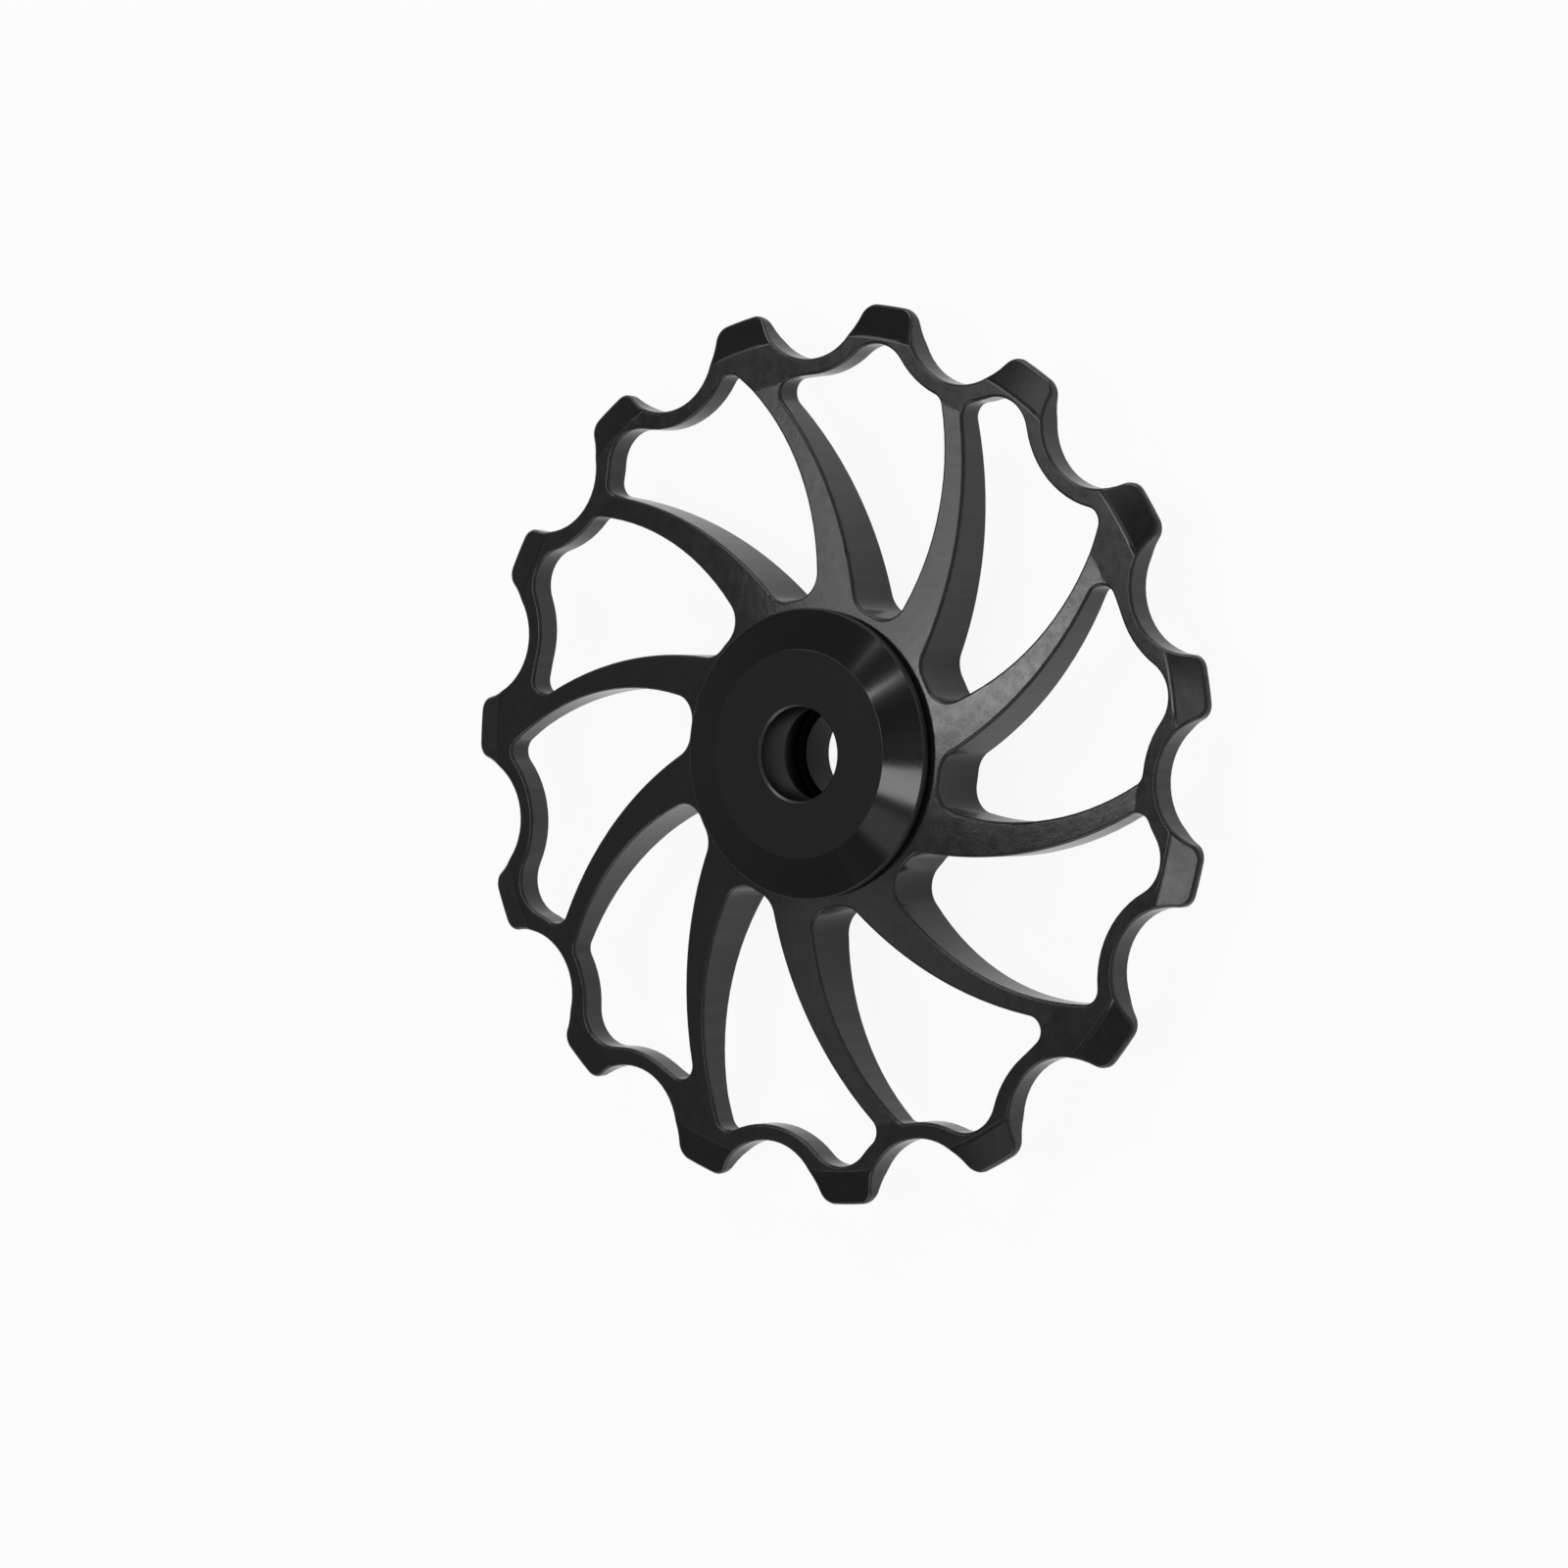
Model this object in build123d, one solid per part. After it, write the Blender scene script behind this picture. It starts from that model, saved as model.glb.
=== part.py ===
from build123d import *
from math import acos, atan2, cos, degrees, hypot, pi, radians, sin, sqrt
import os

# Derailleur jockey wheel: a toothed wheel on a sealed ball bearing, between two clamp caps.
# Millimetres and degrees. The axle runs along Z, and the first tooth points along +X.

# Chain and teeth
CHAIN_PITCH = 12.7
ROLLER_DIAMETER = 7.75
ROLLER_SEAT_GAP = 0.07
TOOTH_GROUPS = 5
GROUP_TEETH = 3
GROUP_SPOKES = 2
ROLLER_SIDE_GAP = 0.525
TOOTH_HEIGHT = 3.73
TOOTH_CORNER_RADIUS = 1.05
TOOTH_TIP_THICKNESS = 0.6
TOOTH_BEVEL_DEPTH = 2.15

# Rim, spokes and hub
RIM_THICKNESS = 2.0
RIM_BAND = 1.4
RIM_WALL = 1.1
RIM_WAVE_RADIUS = 6.5
TOOTH_TIP_WALL = 2.6
SPOKE_HUB_WIDTH = 3.4
VALLEY_SPOKE_WIDTH = 1.93
TOOTH_SPOKE_WIDTH = 1.57
SPOKE_SWEEP = 15.54
SPOKE_RIM_LAG = 0.26
SPOKE_LEAD_RADIUS = 26.0
SPOKE_TRAIL_RADIUS = 18.0
HUB_FLAT_WALL = 0.7
HUB_RING_WALL = 2.45
POCKET_HUB_RADIUS = 1.7
POCKET_HUB_SHARE = 0.54
POCKET_RIM_RADIUS = 1.0

# Ball bearing
BEARING_BORE = 8.0
BEARING_OUTSIDE = 16.0
BEARING_WIDTH = 5.0
BALLS = 9
BALL_DIAMETER = 2.381
RACE_RELIEF = 0.04762
RACE_SHOULDER = 0.29
RING_CHAMFER = 0.2
CAGE_WALL = 1.2
CAGE_BASE = 0.5
CAGE_PRONG_RISE = 0.55
SEAL_THICKNESS = 0.4
SEAL_INSET = 0.15
SEAL_BITE = 0.35

# Clamp caps
AXLE_BORE = 6.3
CAP_DIAMETER = 19.54
CAP_FACE_DIAMETER = 13.96
CAP_EDGE_HEIGHT = 0.55
CAP_CONE_HEIGHT = 0.8
CAP_EDGE_BREAK = 0.1
CAP_SHOULDER_INSET = 0.08
SPIGOT_LENGTH = 1.25
BORE_CHAMFER = 0.15

# Clearances
SEAT_FIT = 0.01
SPIGOT_FIT = 0.02
BALL_PLAY = 0.02
CAGE_PLAY = 0.06
SEAL_FIT = 0.02
SEAL_PLAY = 0.08
CAP_GAP = 0.15

# Worked out from the sizes above
teeth = TOOTH_GROUPS * GROUP_TEETH
spokes = TOOTH_GROUPS * GROUP_SPOKES
tooth_angle = 360 / teeth
spoke_angle = 360 / spokes
pitch_radius = CHAIN_PITCH / (2 * sin(pi / teeth))
root_radius = pitch_radius - ROLLER_DIAMETER / 2 - ROLLER_SEAT_GAP
tip_radius = root_radius + TOOTH_HEIGHT
valley_radius = ROLLER_DIAMETER / 2 + ROLLER_SIDE_GAP
valley_centre_radius = root_radius + valley_radius
rim_inner_radius = root_radius - RIM_WALL
seat_radius = BEARING_OUTSIDE / 2 + SEAT_FIT
pocket_radius = seat_radius + HUB_RING_WALL
half_width = BEARING_WIDTH / 2
ball_radius = BALL_DIAMETER / 2
ball_circle_radius = (BEARING_BORE + BEARING_OUTSIDE) / 4
race_radius = ball_radius + RACE_RELIEF
inner_race_radius = ball_circle_radius - ball_radius - BALL_PLAY
outer_race_radius = ball_circle_radius + ball_radius + BALL_PLAY
inner_land_radius = inner_race_radius + RACE_SHOULDER
outer_land_radius = outer_race_radius - RACE_SHOULDER
seal_outer_face = half_width - SEAL_INSET
seal_inner_face = seal_outer_face - SEAL_THICKNESS
seal_groove_radius = outer_land_radius + SEAL_BITE


def polar(radius, angle):
    """Point at a radius and an angle from +X."""
    return (radius * cos(radians(angle)), radius * sin(radians(angle)))


def turned(points):
    """Solid of revolution about Z from a closed section of (radius, height) points."""
    section = make_face(Polyline([(r, 0, z) for r, z in points], close=True))
    return revolve(section, Axis.Z)


def between(start, end, share):
    """Point on the line from start to end, at a share of its length."""
    return (start[0] + (end[0] - start[0]) * share, start[1] + (end[1] - start[1]) * share)


def tooth_outline():
    """Face of the teeth: tip, corner and valley arcs, each tangent to the next."""
    corner_centre_radius = tip_radius - TOOTH_CORNER_RADIUS
    centre_gap = TOOTH_CORNER_RADIUS + valley_radius
    cosine = (corner_centre_radius**2 + valley_centre_radius**2 - centre_gap**2) / (
        2 * corner_centre_radius * valley_centre_radius
    )
    corner = tooth_angle / 2 - degrees(acos(cosine))
    share = TOOTH_CORNER_RADIUS / centre_gap
    edges = []
    for tooth in range(teeth):
        here = tooth * tooth_angle
        following = here + tooth_angle
        valley = here + tooth_angle / 2
        centre = polar(valley_centre_radius, valley)
        falling = between(polar(corner_centre_radius, here + corner), centre, share)
        rising = between(polar(corner_centre_radius, following - corner), centre, share)
        tip_end = polar(tip_radius, here + corner)
        edges += [
            ThreePointArc(polar(tip_radius, here - corner), polar(tip_radius, here), tip_end),
            RadiusArc(tip_end, falling, -TOOTH_CORNER_RADIUS),
            ThreePointArc(falling, polar(root_radius, valley), rising),
            RadiusArc(rising, polar(tip_radius, following - corner), -TOOTH_CORNER_RADIUS),
        ]
    return Face(Wire(edges))


def pocket_limit():
    """Face inside the rim: a wave that rounds each valley and has a lobe inside each tooth."""
    lobe_top = tip_radius - TOOTH_TIP_WALL
    along, across = polar(rim_inner_radius + RIM_WAVE_RADIUS, tooth_angle / 2)
    rise = along - lobe_top
    lobe = (across**2 + rise**2 - RIM_WAVE_RADIUS**2) / (2 * (RIM_WAVE_RADIUS - rise))
    share = lobe / (lobe + RIM_WAVE_RADIUS)
    joint_along = lobe_top - lobe + (rise + lobe) * share
    joint_across = across * share
    joint_radius = hypot(joint_along, joint_across)
    joint_half = degrees(atan2(joint_across, joint_along))
    edges = []
    for tooth in range(teeth):
        here = tooth * tooth_angle
        start = polar(joint_radius, here - joint_half)
        end = polar(joint_radius, here + joint_half)
        valley = polar(rim_inner_radius, here + tooth_angle / 2)
        following = polar(joint_radius, here + tooth_angle - joint_half)
        edges += [
            ThreePointArc(start, polar(lobe_top, here), end),
            ThreePointArc(end, valley, following),
        ]
    return Face(Wire(edges))


def spoke_edge(hub_angle, rim_angle, bend_radius):
    """Function that gives the point of a spoke's arched edge at any distance from the axle."""
    hub_x, hub_y = polar(pocket_radius, hub_angle)
    rim_x, rim_y = polar(rim_inner_radius, rim_angle)
    chord = hypot(rim_x - hub_x, rim_y - hub_y)
    reach = sqrt(bend_radius**2 - chord**2 / 4) / chord
    centre_x = (hub_x + rim_x) / 2 - (rim_y - hub_y) * reach
    centre_y = (hub_y + rim_y) / 2 + (rim_x - hub_x) * reach
    offset_radius = hypot(centre_x, centre_y)
    bearing = degrees(atan2(centre_y, centre_x))

    def at(radius):
        cosine = (radius**2 + offset_radius**2 - bend_radius**2) / (2 * radius * offset_radius)
        return polar(radius, bearing - degrees(acos(cosine)))

    return at


def arc_between(edge, inner, outer):
    """Piece of a spoke's edge between two distances from the axle."""
    return ThreePointArc(edge(inner), edge((inner + outer) / 2), edge(outer))


def spoke_edges(rim_width):
    """Leading and trailing edge of the spoke that ends at the valley before the first tooth."""
    rim_angle = -tooth_angle / 2 - SPOKE_RIM_LAG
    hub_angle = rim_angle - SPOKE_SWEEP
    lead_hub_angle = hub_angle - degrees(SPOKE_HUB_WIDTH / pocket_radius)
    lead_rim_angle = rim_angle - degrees(rim_width / rim_inner_radius)
    lead = spoke_edge(lead_hub_angle, lead_rim_angle, SPOKE_LEAD_RADIUS)
    trail = spoke_edge(hub_angle, rim_angle, SPOKE_TRAIL_RADIUS)
    return lead, trail


def spoke(rim_width):
    """Swept spoke from inside the hub ring to beyond the rim's inner edge."""
    lead, trail = spoke_edges(rim_width)
    inner = (seat_radius + pocket_radius) / 2
    return Face(Wire([
        arc_between(lead, inner, tip_radius),
        Line(lead(tip_radius), trail(tip_radius)),
        arc_between(trail, inner, tip_radius),
        Line(trail(inner), lead(inner)),
    ]))


def spoke_foot(past_valley):
    """Solid part of the tooth that a spoke runs into, from the valley before it to the spoke."""
    lead = spoke_edges(TOOTH_SPOKE_WIDTH)[0]
    valley = -tooth_angle / 2 - past_valley
    corner = lead(rim_inner_radius)
    middle = (valley + degrees(atan2(corner[1], corner[0]))) / 2
    return Face(Wire([
        ThreePointArc(polar(rim_inner_radius, valley), polar(rim_inner_radius, middle), corner),
        arc_between(lead, rim_inner_radius, tip_radius),
        Line(lead(tip_radius), polar(tip_radius, valley)),
        Line(polar(tip_radius, valley), polar(rim_inner_radius, valley)),
    ]))


def pocket_cutter(plan):
    """Prism of one pocket, with fillets where its two long sides reach the hub and the rim."""
    sides = plan.edges().sort_by(SortBy.LENGTH)[-2:]
    hub_gap = pocket_radius * radians(spoke_angle) - SPOKE_HUB_WIDTH
    hub_fillet = min(POCKET_HUB_RADIUS, POCKET_HUB_SHARE * hub_gap)
    prism = extrude(plan, half_width, both=True)
    upright = prism.edges().filter_by(Axis.Z)
    for end, radius in ((0, hub_fillet), (-1, POCKET_RIM_RADIUS)):
        corners = [side.vertices().sort_by(lambda v: hypot(v.X, v.Y))[end] for side in sides]
        prism = fillet([upright.sort_by_distance(corner)[0] for corner in corners], radius)
        upright = prism.edges().filter_by(Axis.Z)
    return prism


def pockets():
    """Cutters for the openings between the spokes."""
    solid = []
    for index in range(spokes):
        place = Rot(0, 0, index * spoke_angle)
        past_valley = tooth_angle * (index * GROUP_TEETH % GROUP_SPOKES) / GROUP_SPOKES
        if past_valley:
            solid += [place * spoke(TOOTH_SPOKE_WIDTH), place * spoke_foot(past_valley)]
        else:
            solid.append(place * spoke(VALLEY_SPOKE_WIDTH))
    opened = pocket_limit() - Circle(pocket_radius) - solid
    return [pocket_cutter(plan) for plan in opened.faces()]


def toothed_wheel():
    """Turned disc, thick at the hub and bevelled at the tips, milled through to teeth and spokes."""
    hub_flat_radius = seat_radius + HUB_FLAT_WALL
    band_radius = root_radius - RIM_BAND
    bevel_radius = tip_radius - TOOTH_BEVEL_DEPTH
    front = [
        (seat_radius, half_width),
        (hub_flat_radius, half_width),
        (band_radius, RIM_THICKNESS / 2),
        (bevel_radius, RIM_THICKNESS / 2),
        (tip_radius, TOOTH_TIP_THICKNESS / 2),
    ]
    disc = turned(front + [(r, -z) for r, z in reversed(front)])
    return (disc & extrude(tooth_outline(), half_width, both=True)) - pockets()


def cap():
    """Front clamp cap: spigot in the bearing, shoulder on its inner ring, coned cover over the hub."""
    bore = AXLE_BORE / 2
    spigot = BEARING_BORE / 2 - SPIGOT_FIT
    spigot_end = half_width - SPIGOT_LENGTH
    rim = CAP_DIAMETER / 2
    under = half_width + CAP_GAP
    edge = under + CAP_EDGE_HEIGHT
    face = edge + CAP_CONE_HEIGHT
    shoulder = inner_land_radius - CAP_SHOULDER_INSET
    return turned([
        (bore, spigot_end),
        (spigot - CAP_EDGE_BREAK, spigot_end),
        (spigot, spigot_end + CAP_EDGE_BREAK),
        (spigot, half_width),
        (shoulder, half_width),
        (shoulder, under),
        (rim - CAP_EDGE_BREAK, under),
        (rim, under + CAP_EDGE_BREAK),
        (rim, edge - CAP_EDGE_BREAK),
        (rim - CAP_EDGE_BREAK, edge),
        (CAP_FACE_DIAMETER / 2, face),
        (bore + BORE_CHAMFER, face),
        (bore, face - BORE_CHAMFER),
    ])


def bearing_inner_ring():
    """Inner ring with a ball race round its outside."""
    bore = BEARING_BORE / 2
    front = [
        (bore, half_width - RING_CHAMFER),
        (bore + RING_CHAMFER, half_width),
        (inner_land_radius, half_width),
    ]
    ring = turned(front + [(r, -z) for r, z in reversed(front)])
    return ring - Torus(inner_race_radius + race_radius, race_radius)


def bearing_outer_ring():
    """Outer ring with a ball race inside it and a groove at each end for a seal."""
    outside = BEARING_OUTSIDE / 2
    mouth = outer_land_radius + SEAL_BITE / 2
    front = [
        (outer_land_radius, seal_inner_face),
        (seal_groove_radius, seal_inner_face),
        (seal_groove_radius, seal_outer_face),
        (mouth, seal_outer_face),
        (mouth, half_width),
        (outside - RING_CHAMFER, half_width),
        (outside, half_width - RING_CHAMFER),
    ]
    ring = turned(front + [(r, -z) for r, z in reversed(front)])
    return ring - Torus(outer_race_radius - race_radius, race_radius)


def seal():
    """Front rubber seal: a rim held in the outer ring's groove and a thin lip over the inner ring."""
    rim = seal_groove_radius - SEAL_FIT
    lip = inner_land_radius + SEAL_PLAY
    web = seal_inner_face + SEAL_THICKNESS / 2
    return turned([
        (lip, seal_inner_face + SEAL_FIT),
        (lip + SEAL_THICKNESS, web),
        (outer_land_radius - SEAL_FIT, web),
        (outer_land_radius - SEAL_FIT, seal_inner_face + SEAL_FIT),
        (rim, seal_inner_face + SEAL_FIT),
        (rim, seal_outer_face - SEAL_FIT),
        (lip, seal_outer_face - SEAL_FIT),
    ])


def ball_place(index):
    """Centre of a ball on the ball circle."""
    return Pos(*polar(ball_circle_radius, index * 360 / BALLS), 0)


def bearing_cage():
    """Crown cage: a ring behind the balls with prongs that reach round them."""
    inside = ball_circle_radius - CAGE_WALL / 2
    outside = ball_circle_radius + CAGE_WALL / 2
    back = -ball_radius - CAGE_BASE
    ring = turned([
        (inside, back),
        (outside, back),
        (outside, CAGE_PRONG_RISE),
        (inside, CAGE_PRONG_RISE),
    ])
    return ring - [ball_place(i) * Sphere(ball_radius + CAGE_PLAY) for i in range(BALLS)]


def pieces():
    """Every piece by name, in place."""
    to_rear = Rot(180, 0, 0)
    named = {
        "toothed_wheel": toothed_wheel(),
        "front_cap": cap(),
        "rear_cap": to_rear * cap(),
        "bearing_outer_ring": bearing_outer_ring(),
        "bearing_inner_ring": bearing_inner_ring(),
        "bearing_cage": bearing_cage(),
        "front_seal": seal(),
        "rear_seal": to_rear * seal(),
    }
    for index in range(BALLS):
        named[f"ball_{index + 1}"] = ball_place(index) * Sphere(ball_radius)
    return named


os.makedirs("parts", exist_ok=True)
for name, piece in pieces().items():
    export_step(piece, f"parts/{name}.step")
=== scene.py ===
# %% [markdown]
# # A derailleur jockey wheel, dressed for its portrait
# The solids of the wheel come from the frame at their true size and place. This lesson gives
# them what a solid model leaves out: edges that a tumbler has rounded, black anodised alloy
# with a blasted grain, gloss turned caps, ground steel, rubber and ceramic. Then it sets the
# wheel on a white table under soft lamps and looks at it over a long lens.

# %% Load the frame
import math

import bmesh
import bpy
from mathutils import Matrix, Vector


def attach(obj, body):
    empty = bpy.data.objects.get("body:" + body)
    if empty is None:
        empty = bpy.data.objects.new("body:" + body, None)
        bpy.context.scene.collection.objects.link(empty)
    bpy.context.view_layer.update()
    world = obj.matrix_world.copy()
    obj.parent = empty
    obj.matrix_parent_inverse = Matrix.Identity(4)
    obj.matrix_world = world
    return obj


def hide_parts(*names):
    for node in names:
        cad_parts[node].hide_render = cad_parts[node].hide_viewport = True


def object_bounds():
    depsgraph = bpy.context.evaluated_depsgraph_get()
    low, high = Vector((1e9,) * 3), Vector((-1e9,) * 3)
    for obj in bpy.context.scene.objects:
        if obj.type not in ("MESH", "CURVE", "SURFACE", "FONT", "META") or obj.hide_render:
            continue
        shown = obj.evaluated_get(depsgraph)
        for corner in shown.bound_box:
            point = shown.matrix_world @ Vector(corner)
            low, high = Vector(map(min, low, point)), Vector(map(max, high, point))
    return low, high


MM = 0.001

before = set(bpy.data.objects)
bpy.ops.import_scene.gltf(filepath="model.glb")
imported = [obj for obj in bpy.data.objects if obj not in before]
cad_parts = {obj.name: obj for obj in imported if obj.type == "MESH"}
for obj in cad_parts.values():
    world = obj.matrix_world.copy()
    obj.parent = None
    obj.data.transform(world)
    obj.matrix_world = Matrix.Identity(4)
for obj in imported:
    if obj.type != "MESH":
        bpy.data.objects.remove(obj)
cad_low, cad_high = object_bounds()
print("nodes in the frame:", len(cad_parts))
print("size in mm:", [round(side / MM, 2) for side in cad_high - cad_low])

# %% [markdown]
# ## Shader sums written as Python
# A finish is a graph of nodes, and a long graph is hard to read when every link is a line of
# code. One small class wraps the output of a node, so that `1 - mask` or `x * x + y * y` adds
# the Math nodes by itself. A second class holds a node tree and makes every other node by a
# single method: its type, then its settings, then the values or links of its sockets. A third
# is a node tree that makes up one material.

# %% A node's output that takes part in sums
class Output:
    """An output socket. A sum with it adds one Math node and gives that node's output."""

    def __init__(self, nodes, socket):
        self.nodes = nodes
        self.socket = socket

    def __add__(self, other):
        return self.nodes.maths("ADD", self, other)

    def __radd__(self, other):
        return self.nodes.maths("ADD", other, self)

    def __sub__(self, other):
        return self.nodes.maths("SUBTRACT", self, other)

    def __rsub__(self, other):
        return self.nodes.maths("SUBTRACT", other, self)

    def __mul__(self, other):
        return self.nodes.maths("MULTIPLY", self, other)

    def __rmul__(self, other):
        return self.nodes.maths("MULTIPLY", other, self)

    def __pow__(self, other):
        return self.nodes.maths("POWER", self, other)

    def __abs__(self):
        return self.nodes.maths("ABSOLUTE", self)


print("sums on a node's output: + - * ** abs")


# %% A node tree
# A Mix node has a row of sockets for each type of data. These are the ones for colours.
COLOUR_LOW = 6
COLOUR_HIGH = 7
COLOUR_OUT = 2


class Nodes:
    """A node tree, with short ways to the nodes that the lesson needs."""

    def __init__(self, tree):
        self.tree = tree

    def feed(self, node, inputs):
        """Sets or links the inputs of a node."""
        for key, value in inputs.items():
            if isinstance(value, Output):
                self.tree.links.new(value.socket, node.inputs[key])
            else:
                node.inputs[key].default_value = value

    def node(self, kind, settings=None, inputs=None, output=0):
        """Adds a node of a kind, applies its settings, feeds its inputs and gives one output."""
        made = self.tree.nodes.new(kind)
        for key, value in (settings or {}).items():
            setattr(made, key, value)
        self.feed(made, inputs or {})
        return Output(self, made.outputs[output])

    def maths(self, operation, *values):
        """A Math node on one or two values."""
        return self.node("ShaderNodeMath", {"operation": operation}, dict(enumerate(values)))

    def step(self, value, low, high):
        """Smooth rise from 0 to 1 while a value goes from low to high."""
        ends = {"Value": value, "From Min": low, "From Max": high}
        return self.node("ShaderNodeMapRange", {"interpolation_type": "SMOOTHSTEP"}, ends)

    def part(self, vector, axis):
        """One part of a vector: X, Y or Z."""
        return self.node("ShaderNodeSeparateXYZ", inputs={0: vector}, output=axis)

    def ray(self, kind):
        """1 for a ray of a kind, such as Camera or Glossy, and 0 for any other."""
        return self.node("ShaderNodeLightPath", output=f"Is {kind} Ray")

    def mix(self, share, low, high):
        """Colour between low and high."""
        inputs = {0: share, COLOUR_LOW: low, COLOUR_HIGH: high}
        return self.node("ShaderNodeMix", {"data_type": "RGBA"}, inputs, output=COLOUR_OUT)


print("ways to add nodes:", ", ".join(way for way in vars(Nodes) if not way.startswith("_")))


# %% A material made of nodes
class Finish(Nodes):
    """One procedural material on a Principled shader, read in the object's own coordinates."""

    def __init__(self, name, **constants):
        self.material = bpy.data.materials.new(name)
        self.material.use_nodes = True
        super().__init__(self.material.node_tree)
        self.shader = self.tree.nodes["Principled BSDF"]
        self.place = self.node("ShaderNodeTexCoord", output="Object")
        self.show(**constants)

    def from_axle(self):
        """Distance from the axle."""
        x = self.part(self.place, "X")
        y = self.part(self.place, "Y")
        return (x * x + y * y) ** 0.5

    def facing_axle(self):
        """1 where the surface looks along the axle, either way, and 0 where it looks sideways."""
        normal = self.node("ShaderNodeTexCoord", output="Normal")
        return abs(self.part(normal, "Z"))

    def grain(self, size, squeeze=(1, 1, 1), detail=2.0, place=None):
        """Noise from 0 to 1 with grains of a size. A squeeze under 1 draws them out on that axis."""
        scaled = {"Vector": place or self.place, "Scale": squeeze}
        vector = self.node("ShaderNodeMapping", inputs=scaled)
        noise = {"Vector": vector, "Scale": 1 / size, "Detail": detail}
        return self.node("ShaderNodeTexNoise", inputs=noise)

    def bump(self, height):
        """Bends the normal as a height in millimetres asks."""
        self.show(Normal=self.node("ShaderNodeBump", inputs={"Height": height, "Distance": MM}))

    def show(self, **inputs):
        """Feeds the shader, with spaces in its sockets' names written as underscores."""
        self.feed(self.shader, {key.replace("_", " "): value for key, value in inputs.items()})
        return self.material


print("ways that a finish adds:", ", ".join(way for way in vars(Finish) if not way.startswith("_")))

# %% [markdown]
# ## Broken edges on the toothed wheel
# The real wheel is turned and milled from one plate, then tumbled and blasted, which takes
# the sharpness off every edge. A sharp computer edge reflects no light at all, and a rounded one
# draws the fine lines that say metal. The edges could be rounded by a Bevel modifier, but the
# packed mesh is loose triangles. So a copy is joined up, its flat triangles are melted into
# whole faces, and one bevel operator rounds what is sharp. The low ridge where the teeth begin
# to thin is picked by another test: it runs round the axle at one height.

# %% Join up a copy of a solid
WELD = 0.001 * MM
FLAT = math.radians(0.1)


def joined_copy(node):
    """A bmesh of a node's triangles, with doubled points merged and flat faces made whole."""
    shape = bmesh.new()
    shape.from_mesh(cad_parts[node].data)
    bmesh.ops.remove_doubles(shape, verts=shape.verts, dist=WELD)
    bmesh.ops.dissolve_limit(shape, angle_limit=FLAT, verts=shape.verts, edges=shape.edges)
    return shape


wheel_shape = joined_copy("toothed_wheel")
print("toothed wheel:", len(wheel_shape.verts), "points,", len(wheel_shape.faces), "faces")

# %% Measure the flat band of the rim
flat_faces = [face for face in wheel_shape.faces if face.normal.z > math.cos(FLAT)]
band_height = min(face.calc_center_median().z for face in flat_faces)
flat_points = [vert.co for face in flat_faces for vert in face.verts]
band_radii = [point.xy.length for point in flat_points if abs(point.z - band_height) < WELD]
band_start = min(band_radii)
band_end = max(band_radii)
print("band from", round(band_start / MM, 2), "to", round(band_end / MM, 2), "mm from the axle")

# %% Round the edges
EDGE_BREAK = 0.2 * MM
EDGE_SEGMENTS = 2
SHARP = math.radians(35)
RIDGE = math.radians(12)


def is_ring(edge):
    """True for an edge that runs round the axle at one height and one radius."""
    first, second = (vert.co for vert in edge.verts)
    level = abs(first.z - second.z) < WELD
    return level and abs(first.xy.length - second.xy.length) < WELD


def worth_rounding(edge):
    """True for a sharp edge, and for a low ridge that a lathe has left."""
    angle = edge.calc_face_angle(0.0)
    return angle > SHARP or (angle > RIDGE and is_ring(edge))


edge_mark = wheel_shape.faces.layers.float.new("rounded_edge")
broken = [edge for edge in wheel_shape.edges if worth_rounding(edge)]
strips = bmesh.ops.bevel(
    wheel_shape, geom=broken, offset=EDGE_BREAK, offset_type="OFFSET", affect="EDGES",
    segments=EDGE_SEGMENTS, profile=0.5, material=-1, clamp_overlap=False,
)
for face in strips["faces"]:
    face[edge_mark] = 1.0
print("edges rounded:", len(broken), "faces in the rounded strips:", len(strips["faces"]))

# %% [markdown]
# ## Shading that follows the lathe
# A long thin triangle on a cone has one normal, and smooth shading mixes it with its neighbours'
# by the angles they happen to meet at, which draws faint rays on a dark gloss. More triangles
# would only make the rays finer. The real face was turned: its normal leans away from the axle by
# one angle all the way round. So each corner of a turned face gets that lean at its own place, a
# wall gets the mean of its walls, and a rounded strip takes the normals of the faces on its two
# sides, so it blends into them.

# %% Settle the normals of the wheel
TURNED = math.cos(math.radians(25))


def turned_normal(face, point):
    """The normal that a turned face has at a point: the face's lean, away from the axle there."""
    lean = face.normal.xy.dot(face.center.xy.normalized())
    outward = point.xy.normalized() * lean
    return Vector((outward.x, outward.y, face.normal.z)).normalized()


def settle_normals(mesh):
    """Gives every corner of a mesh the normal of the large face that it belongs to or lies beside."""
    in_strip = [mark.value > 0.5 for mark in mesh.attributes["rounded_edge"].data]
    choices = {}
    walls = {}
    for face in mesh.polygons:
        if in_strip[face.index]:
            continue
        for index in face.vertices:
            if abs(face.normal.z) > TURNED:
                turned = turned_normal(face, mesh.vertices[index].co)
                choices.setdefault(index, []).append(turned)
            else:
                walls[index] = walls.get(index, Vector()) + face.normal * face.area
    for index, normal in walls.items():
        choices.setdefault(index, []).append(normal.normalized())
    corners = []
    for face in mesh.polygons:
        for index in face.vertices:
            known = choices.get(index, [mesh.vertices[index].normal])
            corners.append(max(known, key=face.normal.dot))
    mesh.normals_split_custom_set(corners)
    print(mesh.name, "has", len(corners), "corner normals")
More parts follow.
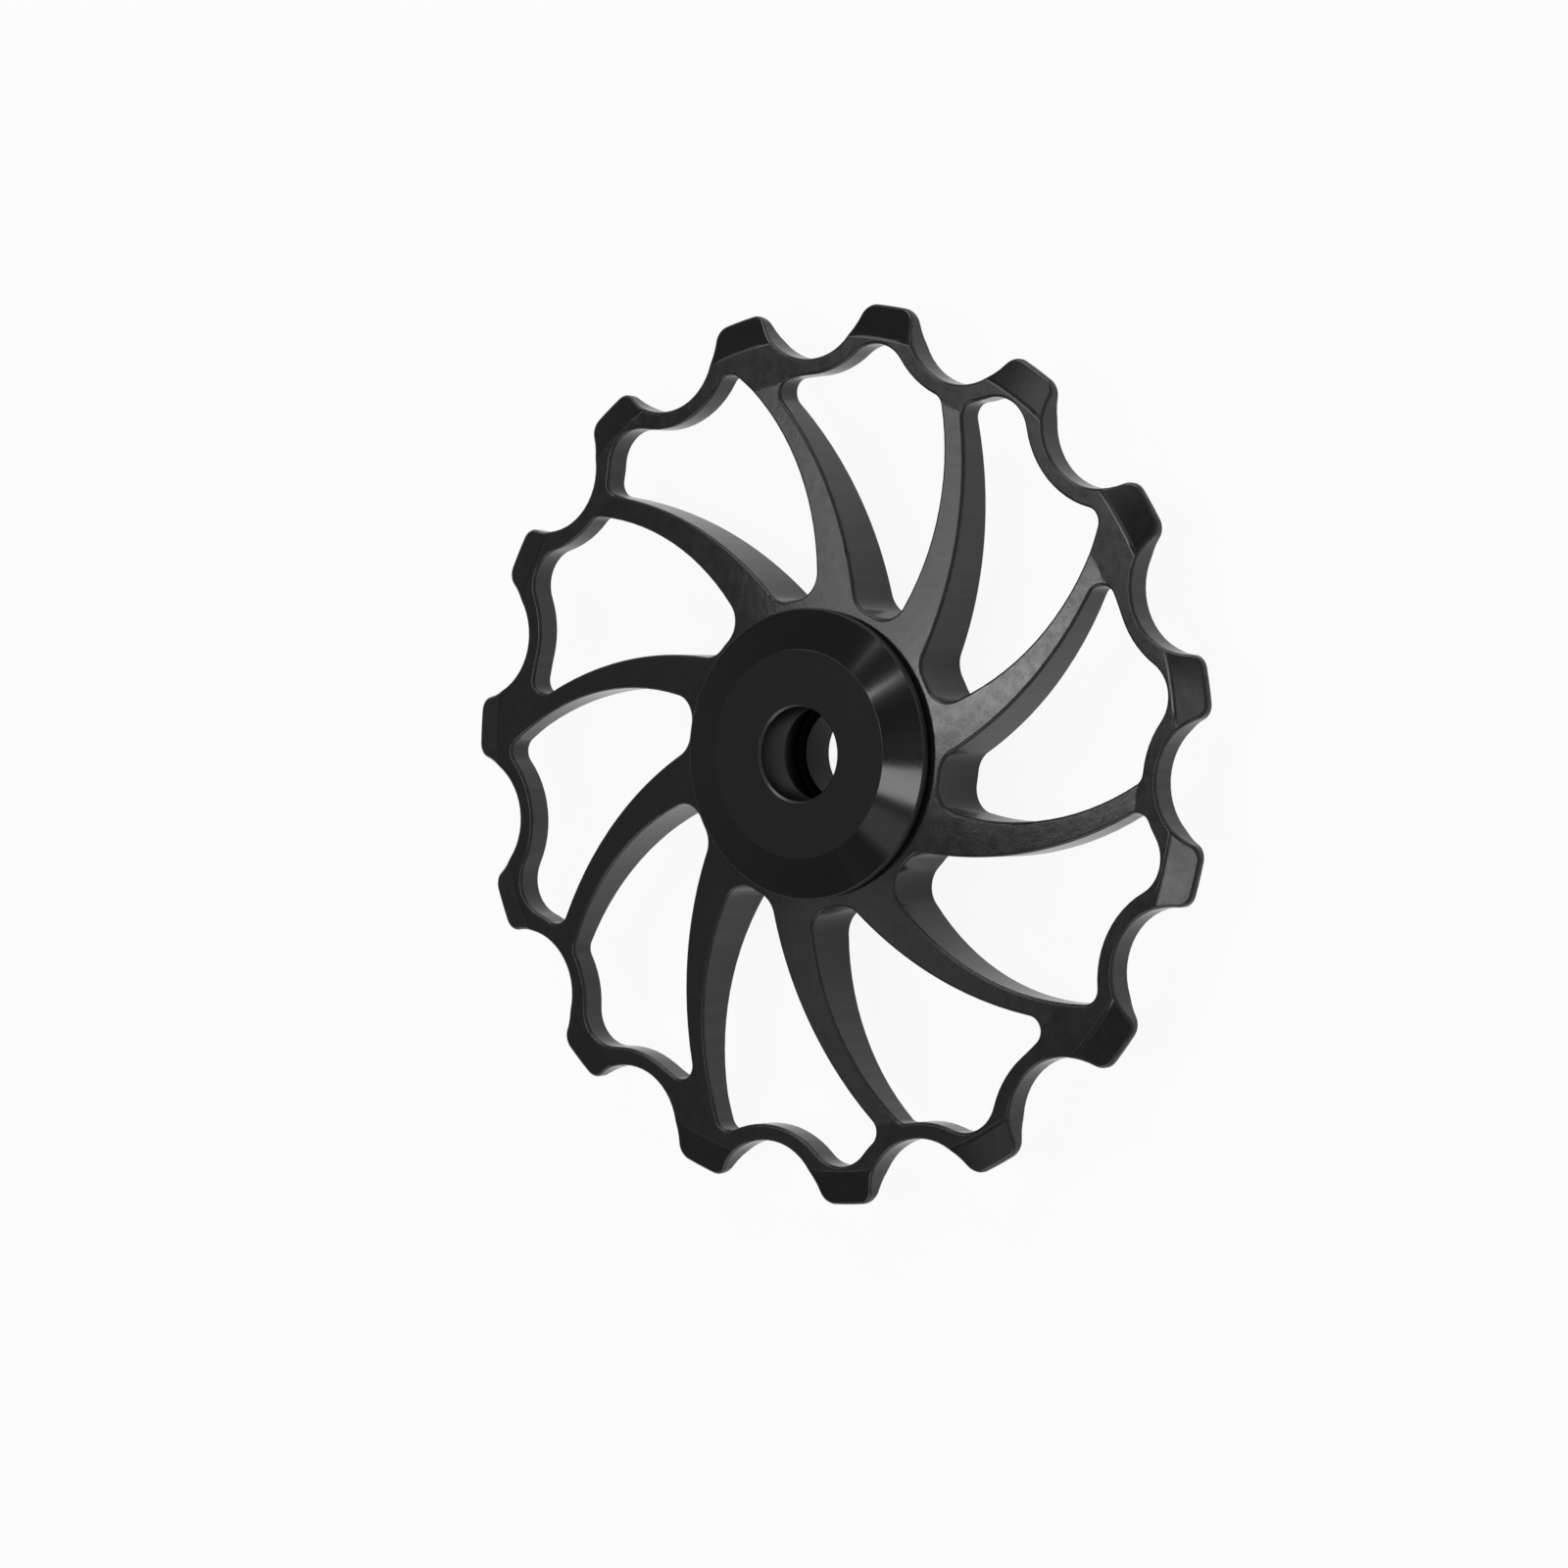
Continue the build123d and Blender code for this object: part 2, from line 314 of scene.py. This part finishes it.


# %% [markdown]
# ## From a shape to a piece
# A bmesh is only a shape in memory. A piece is an object with a mesh, smooth shading and one
# material. It rides on the empty of the body that it moves with, and the packed nodes that it
# stands for are hidden. The packed mesh could be changed instead, but the frame has to stay as
# it was packed, so a piece takes the node's place.

# %% Make a piece of a shape
def finished_piece(name, shape, body, slot, material, *nodes):
    """An object made of a shape, riding on a body in place of some nodes of the frame."""
    for face in shape.faces:
        face.smooth = True
    for edge in shape.edges:
        edge.smooth = True
    mesh = bpy.data.meshes.new(name)
    shape.to_mesh(mesh)
    shape.free()
    if "custom_normal" in mesh.attributes:
        mesh.attributes.remove(mesh.attributes["custom_normal"])
    mesh.materials.clear()
    mesh.materials.append(material)
    mesh.polygons.foreach_set("material_index", [0] * len(mesh.polygons))
    piece = bpy.data.objects.new(name, mesh)
    bpy.context.scene.collection.objects.link(piece)
    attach(piece, body)
    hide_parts(*nodes)
    print(name, "has", len(mesh.polygons), "faces and rides on", body)
    return piece


# %% [markdown]
# ## Black anodised alloy
# Anodising grows a hard clear skin that holds a black dye, so the surface shines like a dark
# stone and not like bare metal: a dark base with a plain gloss. Blasting leaves the coned hub and
# spokes mottled and soft. The flat band and the teeth, turned afterwards, are smoother, and the
# milled walls keep faint lines from the cutter. Each zone could have a material of its own, but
# their borders would be hard. Distance from the axle and the direction that a face looks in tell
# the zones apart, so one finish covers the whole wheel.

# %% Zones of the wheel
FACE_RISE = 0.5, 0.85
BAND_BLUR = 0.05 * MM

alloy = Finish("black_anodised_wheel", IOR=1.4)
face_zone = alloy.step(alloy.facing_axle(), *FACE_RISE)
wall_zone = 1 - face_zone
band_zone = alloy.step(alloy.from_axle(), band_start - BAND_BLUR, band_start + BAND_BLUR)
blasted_zone = face_zone * (1 - band_zone)
edge_zone = alloy.node("ShaderNodeAttribute", {"attribute_name": "rounded_edge"}, output="Fac")
outer_edge = edge_zone * wall_zone
print("zones of the wheel: faces, walls, band, blasted cone, edges and the outer half of edges")

# %% Grains of the wheel
BLOTCH_SIZE = 0.8 * MM
CLOUD_SIZE = 4.0 * MM
PIT_SIZE = 0.22 * MM
LINE_WIDTH = 0.7 * MM
ALONG_AXLE = 1.0, 1.0, 0.03

blotch = alloy.grain(BLOTCH_SIZE)
cloud = alloy.grain(CLOUD_SIZE)
pits = alloy.grain(PIT_SIZE, detail=1.0)
lines = alloy.grain(LINE_WIDTH, squeeze=ALONG_AXLE, detail=4.0)
print("grains in mm:", [round(size / MM, 2) for size in (BLOTCH_SIZE, CLOUD_SIZE, PIT_SIZE, LINE_WIDTH)])

# %% [markdown]
# ## Colour, gloss and relief of the alloy
# The dye takes unevenly, so two blacks mix by the blotches of the blasting and by wide clouds. On
# the walls a paler grey follows the cutter's lines, which run along the axle as an end mill leaves
# them. Handling has worn the outer half of the rounded edges, in patches. The same grains change the
# roughness and raise the surface by about a hundredth of a millimetre, so that colour, gloss and
# relief agree, as they do on metal. Separate textures for each would be easier to set, but the
# eye sees that they don't belong together.

# %% Colour of the wheel
def grey(level):
    """Colour of one level."""
    return (level, level, level, 1.0)


DYE_DARK = grey(0.006)
DYE_PALE = grey(0.011)
STREAK_TONE = grey(0.025)
WORN_TONE = grey(0.03)
CLOUD_SHARE = 0.35
STREAK_RISE = 0.42, 0.68
WEAR_RISE = 0.45, 0.75

dye = alloy.mix((1 - CLOUD_SHARE) * blotch + CLOUD_SHARE * cloud, DYE_DARK, DYE_PALE)
streaks = wall_zone * alloy.step(lines, *STREAK_RISE)
milled = alloy.mix(streaks, dye, STREAK_TONE)
wear = outer_edge * alloy.step(blotch, *WEAR_RISE)
alloy.show(Base_Color=alloy.mix(wear, milled, WORN_TONE))
print("black of the wheel from", DYE_DARK[0], "to", DYE_PALE[0])

# %% Gloss of the wheel
BASE_ROUGH = 0.18
BAND_SMOOTHER = 0.03
WORN_ROUGHER = 0.15
EDGE_ROUGHER = 0.05
BLOTCH_SWING = 0.12
PIT_SWING = 0.05
CLOUD_SWING = 0.04


def swing(width, noise):
    """A swing about 0, of a width, that follows a noise."""
    return width * (noise - 0.5)


mottle = swing(BLOTCH_SWING, blotch) + swing(PIT_SWING, pits) + swing(CLOUD_SWING, cloud)
turned_smooth = BAND_SMOOTHER * (1 - blasted_zone)
edge_dull = WORN_ROUGHER * outer_edge + EDGE_ROUGHER * edge_zone
alloy.show(Roughness=BASE_ROUGH + face_zone * (mottle - turned_smooth) + edge_dull)
print("roughness of the wheel about", BASE_ROUGH)

# %% Relief of the wheel
BLOTCH_HEIGHT = 0.009
PIT_HEIGHT = 0.0012
LINE_HEIGHT = 0.015
LEFT_ON_BAND = 0.15

blast_share = LEFT_ON_BAND + (1 - LEFT_ON_BAND) * blasted_zone
blast_marks = blast_share * (BLOTCH_HEIGHT * blotch + PIT_HEIGHT * pits)
cutter_marks = (1 - edge_zone) * (LINE_HEIGHT * lines)
alloy.bump(face_zone * blast_marks + wall_zone * cutter_marks)
print("the wheel's finish has", len(alloy.tree.nodes), "nodes")

# %% Make the wheel
wheel = finished_piece("black_wheel", wheel_shape, "wheel", "wheel_alloy", alloy.material, "toothed_wheel")
settle_normals(wheel.data)

# %% [markdown]
# ## Turned caps
# Each cap is a small turning: a flat face, a cone, a thin edge and a spigot that centres it in the
# bearing. The packed cap is right in size, but its round forms are a ring of flat facets, and
# gloss black shows every one of them. A lathe makes such a thing from one outline, and so does the
# spin operator: a plane cuts the solid to find the outline, each corner gets a tiny round, and
# the outline is spun back to a full turn with many more steps.

# %% Find the outline of a turned node
def outline_of(node):
    """A bmesh that holds only the outline of a turned node, cut on the plane through its axle."""
    shape = joined_copy(node)
    everything = shape.verts[:] + shape.edges[:] + shape.faces[:]
    bmesh.ops.bisect_plane(
        shape, geom=everything, dist=WELD, plane_co=(0, 0, 0), plane_no=(0, 1, 0),
        clear_inner=True, clear_outer=True,
    )
    behind = [vert for vert in shape.verts if vert.co.x < 0]
    bmesh.ops.delete(shape, geom=behind, context="VERTS")
    bmesh.ops.delete(shape, geom=shape.faces[:], context="FACES_ONLY")
    bmesh.ops.remove_doubles(shape, verts=shape.verts, dist=WELD)
    straight = [vert for vert in shape.verts if vert.calc_edge_angle(math.pi) < FLAT]
    bmesh.ops.dissolve_verts(shape, verts=straight)
    print(node, "has an outline of", len(shape.verts), "corners")
    return shape


# %% Round the corners of an outline and spin it
CORNER_ROUND = 0.01 * MM
CORNER_SEGMENTS = 3
TURN_STEPS = 192


def turned_again(node):
    """A bmesh of a turned node with rounded corners and a smooth round form."""
    shape = outline_of(node)
    bmesh.ops.bevel(
        shape, geom=shape.verts[:], offset=CORNER_ROUND, offset_type="OFFSET", affect="VERTICES",
        segments=CORNER_SEGMENTS, profile=0.5, material=-1, clamp_overlap=True,
    )
    bmesh.ops.spin(
        shape, geom=shape.verts[:] + shape.edges[:], cent=(0, 0, 0), axis=(0, 0, 1),
        angle=math.tau, steps=TURN_STEPS, use_merge=True,
    )
    bmesh.ops.recalc_face_normals(shape, faces=shape.faces)
    print(node, "is", len(shape.faces), "faces when spun")
    return shape


# %% [markdown]
# ## Gloss black caps
# The flat face and the cone of a cap are polished before it is anodised, so lamps show in them as
# clear streaks. Its rim, its edges and its bore stay as the tool left them, and the rim is the
# dullest. The lathe leaves very fine rings. A Wave texture would draw them too evenly, so noise
# that reads only the distance from the axle and the height gives them.

# %% Cap finish
POLISHED_RISE = 0.85, 0.93
RIM_RISE = 8 * MM, 9 * MM
RING_WIDTH = 0.12 * MM
RING_HEIGHT = 0.0006
CAP_CLOUD = 2.0 * MM
CAP_SPECK = 0.3 * MM
CAP_DYE = grey(0.002), grey(0.004)
TURNED_ROUGH = 0.34
POLISHED_ROUGH = 0.1
RIM_ROUGHER = 0.4
RING_SWING = 0.04
SPECK_SWING = 0.04


def cap_finish():
    """Black alloy, polished on the face and the cone and left as turned elsewhere."""
    finish = Finish("gloss_black_cap", IOR=1.5)
    radius = finish.from_axle()
    polished = finish.step(finish.facing_axle(), *POLISHED_RISE)
    rim = (1 - polished) * finish.step(radius, *RIM_RISE)
    height = finish.part(finish.place, "Z")
    outline = finish.node("ShaderNodeCombineXYZ", inputs={"X": radius, "Z": height})
    rings = finish.grain(RING_WIDTH, place=outline)
    uneven = swing(RING_SWING, rings) + swing(SPECK_SWING, finish.grain(CAP_SPECK))
    rough = TURNED_ROUGH - (TURNED_ROUGH - POLISHED_ROUGH) * polished + RIM_ROUGHER * rim + uneven
    finish.bump(RING_HEIGHT * rings)
    return finish.show(Base_Color=finish.mix(finish.grain(CAP_CLOUD), *CAP_DYE), Roughness=rough)


cap_gloss = cap_finish()
print(cap_gloss.name, "has", len(cap_gloss.node_tree.nodes), "nodes")

# %% Make the two caps
for side in ("front", "rear"):
    cap_node = f"{side}_cap"
    cap_shape = turned_again(cap_node)
    cap = finished_piece(f"{side}_clamp_cap", cap_shape, "axle_core", "cap_alloy", cap_gloss, cap_node)
    cap.modifiers.new("even shading", "WEIGHTED_NORMAL")

# %% [markdown]
# ## The bearing
# Little of the bearing shows: the bore of the inner ring, dark between the two spigots, and the
# rest only when the caps come off. One dark grey would do for the bore, but a part is also looked
# at in pieces. So each piece keeps its packed shape and gets its own finish: steel darkened as a
# painted shade for the dark bore, with lines from the grinding wheel, for the rings, moulded nylon
# for the cage, rubber with a fine bloom for the seals and polished dark ceramic for the balls.

# %% Dress packed nodes
def dress(nodes, material):
    """Gives packed nodes a finish through their material slots."""
    for node in nodes:
        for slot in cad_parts[node].material_slots:
            slot.material = material
    print(material.name, "with", len(material.node_tree.nodes), "nodes, on", ", ".join(nodes))


# %% Steel rings
GROUND_LINE = 0.06 * MM
ROUND_AXLE = 0.05, 0.05, 1.0
GROUND_HEIGHT = 0.0008
STEEL_CLOUD = 1.2 * MM
# The steel tones are far darker than ground steel: a painted shade for the dark bore band between the
# spigots.
STEEL_TONES = grey(0.035), grey(0.06)
STEEL_ROUGH = 0.24
GROUND_ROUGHER = 0.12


def steel_finish():
    """Steel darkened as a painted shade for the bore, with ground lines that run round the axle."""
    finish = Finish("shade_darkened_ground_steel", Metallic=1.0)
    ground = finish.grain(GROUND_LINE, squeeze=ROUND_AXLE)
    tone = finish.mix(finish.grain(STEEL_CLOUD), *STEEL_TONES)
    finish.bump(GROUND_HEIGHT * ground)
    return finish.show(Base_Color=tone, Roughness=STEEL_ROUGH + GROUND_ROUGHER * ground)


dress(["bearing_inner_ring", "bearing_outer_ring"], steel_finish())

# %% Nylon cage
NYLON_CLOUD = 0.9 * MM
NYLON_SKIN = 0.12 * MM
NYLON_SKIN_HEIGHT = 0.003
NYLON_TONES = (0.62, 0.6, 0.53, 1.0), (0.72, 0.7, 0.63, 1.0)
NYLON_ROUGH = 0.42
NYLON_SKIN_ROUGHER = 0.15


def nylon_finish():
    """Pale nylon with a fine moulded skin."""
    finish = Finish("moulded_nylon", IOR=1.53)
    skin = finish.grain(NYLON_SKIN)
    tone = finish.mix(finish.grain(NYLON_CLOUD), *NYLON_TONES)
    finish.bump(NYLON_SKIN_HEIGHT * skin)
    return finish.show(Base_Color=tone, Roughness=NYLON_ROUGH + NYLON_SKIN_ROUGHER * skin)


dress(["bearing_cage"], nylon_finish())

# %% Rubber seals
RUBBER_BLOOM = 0.8 * MM
RUBBER_SKIN = 0.07 * MM
RUBBER_SKIN_HEIGHT = 0.004
RUBBER_TONES = grey(0.012), grey(0.03)
RUBBER_ROUGH = 0.55
BLOOM_ROUGHER = 0.2


def rubber_finish():
    """Black rubber with a paler bloom on it."""
    finish = Finish("seal_rubber_black", IOR=1.5)
    bloom = finish.grain(RUBBER_BLOOM, detail=4.0)
    tone = finish.mix(bloom, *RUBBER_TONES)
    finish.bump(RUBBER_SKIN_HEIGHT * finish.grain(RUBBER_SKIN))
    return finish.show(Base_Color=tone, Roughness=RUBBER_ROUGH + BLOOM_ROUGHER * bloom)


dress(["front_seal", "rear_seal"], rubber_finish())

# %% Ceramic balls
CERAMIC_CLOUD = 0.5 * MM
CERAMIC_SPECK = 0.05 * MM
CERAMIC_TONES = grey(0.02), grey(0.035)
CERAMIC_ROUGH = 0.06
CERAMIC_SPECK_ROUGHER = 0.06


def ceramic_finish():
    """Dark ceramic with fine specks in its polish."""
    finish = Finish("polished_dark_ceramic", IOR=2.0)
    speck = finish.grain(CERAMIC_SPECK)
    tone = finish.mix(finish.grain(CERAMIC_CLOUD), *CERAMIC_TONES)
    return finish.show(Base_Color=tone, Roughness=CERAMIC_ROUGH + CERAMIC_SPECK_ROUGHER * speck)


dress([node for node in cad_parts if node.startswith("ball_")], ceramic_finish())

# %% [markdown]
# ## The camera
# The wheel is seen over a long lens from well to one side of its axle, with the picture turned so
# that the near side of the rim is on the right. A place and a point to look at would leave the
# turn of the picture open, and three turns say it best: the wheel is rolled about its own axle,
# swung away from the lens and tipped a little. The camera gets the reverse of them.

# %% Place the camera
ROLL = math.radians(80.667)
YAW = math.radians(-36.041)
PITCH = math.radians(0.465)
DISTANCE = 441.1 * MM
# Blender counts a lens and its sensor in millimetres, and a shift in widths of the picture.
FOCAL_LENGTH = 150.5
SENSOR_WIDTH = 36.0
SHIFT_RIGHT = -0.03125
SHIFT_UP = -0.0194

turn = Matrix.Rotation(PITCH, 3, "X") @ Matrix.Rotation(YAW, 3, "Y") @ Matrix.Rotation(ROLL, 3, "Z")
to_world = turn.transposed()

lens = bpy.data.cameras.new("long_lens")
lens.lens = FOCAL_LENGTH
lens.sensor_width = SENSOR_WIDTH
lens.shift_x = SHIFT_RIGHT
lens.shift_y = SHIFT_UP
camera = bpy.data.objects.new("portrait_camera", lens)
camera.matrix_world = Matrix.Translation(to_world @ Vector((0, 0, DISTANCE))) @ to_world.to_4x4()
bpy.context.scene.collection.objects.link(camera)
bpy.context.scene.camera = camera
print("camera at", [round(part / MM) for part in camera.matrix_world.translation], "mm")

# %% [markdown]
# ## A white table
# The wheel lies on its rear cap, on white paper that fades into white. More light would make the
# paper white too, but it would spoil the blacks of the wheel. So most of what the camera, a
# reflection or a view through glass sees of the paper glows at a strength of 1, and the rest is
# plain paper, which keeps the shadow under the wheel. Reflections see less of the glow near the
# axle: a painted shade for the hub standing close over the paper.

# %% White paper
GLOW_SHARE = 0.92
UNDER_HUB = 4 * MM, 22 * MM
PAINTED_HUB_SHADE_GLOW = 0.25
OPEN_GLOW = 0.85
PAPER_SPECK = 2.0 * MM
PAPER_TONES = grey(0.88), grey(0.92)


def paper_finish():
    """White paper that glows for what sees it, with a painted shade near the axle for reflections, and is
    plain paper for the lamps.
    """
    finish = Finish("white_paper", Roughness=0.9)
    finish.show(Base_Color=finish.mix(finish.grain(PAPER_SPECK), *PAPER_TONES))
    # Reflections see the glow drop near the axle: a painted shade for the paper under the hub.
    open_table = finish.step(finish.from_axle(), *UNDER_HUB)
    mirrored = finish.ray("Glossy") * (PAINTED_HUB_SHADE_GLOW + (OPEN_GLOW - PAINTED_HUB_SHADE_GLOW) * open_table)
    glowing = GLOW_SHARE * (finish.ray("Camera") + finish.ray("Transmission")) + mirrored
    glow = finish.node("ShaderNodeEmission", inputs={"Strength": 1.0})
    paper = Output(finish, finish.shader.outputs[0])
    both = finish.node("ShaderNodeMixShader", inputs={0: glowing, 1: paper, 2: glow})
    finish.feed(finish.tree.nodes["Material Output"], {"Surface": both})
    return finish.material


white_paper = paper_finish()
print(white_paper.name, "glows by", GLOW_SHARE)

# %% Make the table
TABLE_SIDE = 4.0

table_shape = bmesh.new()
bmesh.ops.create_grid(table_shape, x_segments=1, y_segments=1, size=TABLE_SIDE / 2)
bmesh.ops.translate(table_shape, verts=table_shape.verts, vec=(0, 0, cad_low.z))
table_mesh = bpy.data.meshes.new("table")
table_shape.to_mesh(table_mesh)
table_shape.free()
table_mesh.materials.append(white_paper)
table = bpy.data.objects.new("table", table_mesh)
bpy.context.scene.collection.objects.link(table)
print("table at", round(cad_low.z / MM, 2), "mm")

# %% [markdown]
# ## Lamps
# A black part shows little but what it mirrors. A few big lamps would light it evenly and leave it
# dull, so each lamp is placed by the direction in which a face throws the view. The directions are
# angles off the line to the camera, to the right and up. A leaning soft box, a small spot and a
# low panel brighten the coned hub and spokes, and a dim panel gives the flat faces a trace of grey.
# The streak lamps draw the streaks on the cap's cone and the tooth lamps pick out the bevels
# of the teeth. Two large boxes, beyond the top and the bottom of the picture, light the table.

# %% A lamp by its direction
LAMP_DISTANCE = 700 * MM


def soft_lamp(name, right, up, width, height, brightness, lean=0):
    """A rectangular lamp seen from the wheel at two angles, with a size and a lean in degrees.

    Its power goes with its area, so one brightness looks the same on a lamp of any size.
    """
    right, up = math.radians(right), math.radians(up)
    level = math.cos(up)
    away = to_world @ Vector((math.sin(right) * level, math.sin(up), math.cos(right) * level))
    data = bpy.data.lights.new(name, "AREA")
    data.shape = "RECTANGLE"
    data.size = LAMP_DISTANCE * math.radians(width)
    data.size_y = LAMP_DISTANCE * math.radians(height)
    data.energy = brightness * math.pi * data.size * data.size_y
    lamp = bpy.data.objects.new(name, data)
    side = to_world.col[1].cross(away).normalized()
    facing = Matrix((side, away.cross(side), away)).transposed()
    facing = facing @ Matrix.Rotation(math.radians(lean), 3, "Z")
    lamp.matrix_world = Matrix.Translation(away * LAMP_DISTANCE) @ facing.to_4x4()
    bpy.context.scene.collection.objects.link(lamp)


# %% Place the lamps
# Each lamp has its angles to the right and up, its width and height in degrees, its brightness
# and, where it leans, its lean.
lamps = {
    "spoke_box": (-64, 8, 26, 11, 4.0, -39),
    "spoke_spot": (-60, 2.8, 6, 5, 9.5),
    "low_panel": (-69, -12, 14, 6, 1.0),
    "face_panel": (-76, -2, 24, 20, 0.12),
    "streak_broad": (-40, -8.3, 5, 8, 5.0),
    "streak_narrow": (-45.7, 15.3, 3, 4, 9.0),
    "streak_low": (-46, -19, 8, 8, 0.7),
    "tooth_box": (-34, -10, 6, 12, 6.5),
    "tooth_side": (-33, 3, 5, 6, 3.5),
    "tooth_high": (-45, 28.5, 14, 10, 2.0),
    "tooth_low": (-52, -33, 14, 8, 0.8),
    "top_box": (-36, 62, 34, 30, 4.0),
    "low_box": (-36, -62, 34, 30, 2.5),
}
for name, values in lamps.items():
    soft_lamp(name, *values)
print("lamps:", ", ".join(lamps))

# %% [markdown]
# ## The room
# Round the table the room is white up to just above the horizon, as a studio's back wall is, and
# soft grey above it. A photographer of black gloss hangs a dark card where the flat faces throw
# the view, so that they stay black and the lamps draw clear streaks on them. Walls and a card could
# be modelled, but they would shade the lamps, so sums on the direction of a ray paint them. Only
# the camera, reflections and views through glass see this. The light that the room gives is
# dim and even.

# %% Paint the room
ROOM_LIGHT = 0.2
ROOM_GREY = 0.6
WALL_TOP = math.sin(math.radians(8))
WALL_FADE = math.sin(math.radians(12))
CARD_EDGE = math.cos(math.radians(52))
CARD_FULL = math.cos(math.radians(40))


def paint_room():
    """A world with a white wall, a grey room over it and a dark card for the flat faces."""
    world = bpy.data.worlds.new("studio")
    bpy.context.scene.world = world
    world.use_nodes = True
    paint = Nodes(world.node_tree)
    direction = paint.node("ShaderNodeTexCoord", output="Generated")
    to_camera = to_world.col[2]
    thrown = Vector((-to_camera.x, -to_camera.y, to_camera.z))
    product = {"operation": "DOT_PRODUCT"}
    nearness = paint.node("ShaderNodeVectorMath", product, {0: direction, 1: thrown}, output="Value")
    card = paint.step(nearness, CARD_EDGE, CARD_FULL)
    wall = 1 - paint.step(paint.part(direction, "Z"), WALL_TOP, WALL_FADE)
    grey_room = ROOM_GREY - (ROOM_GREY - ROOM_LIGHT) * card
    seen = paint.ray("Camera") + paint.ray("Glossy") + paint.ray("Transmission")
    strength = ROOM_LIGHT + seen * (grey_room + (1 - grey_room) * wall - ROOM_LIGHT)
    paint.feed(world.node_tree.nodes["Background"], {"Color": grey(1.0), "Strength": strength})
    print("room light:", ROOM_LIGHT)


paint_room()
bpy.context.scene.view_settings.view_transform = "Standard"

# %% [markdown]
# ## The end
# Dressing must not make the wheel bigger.
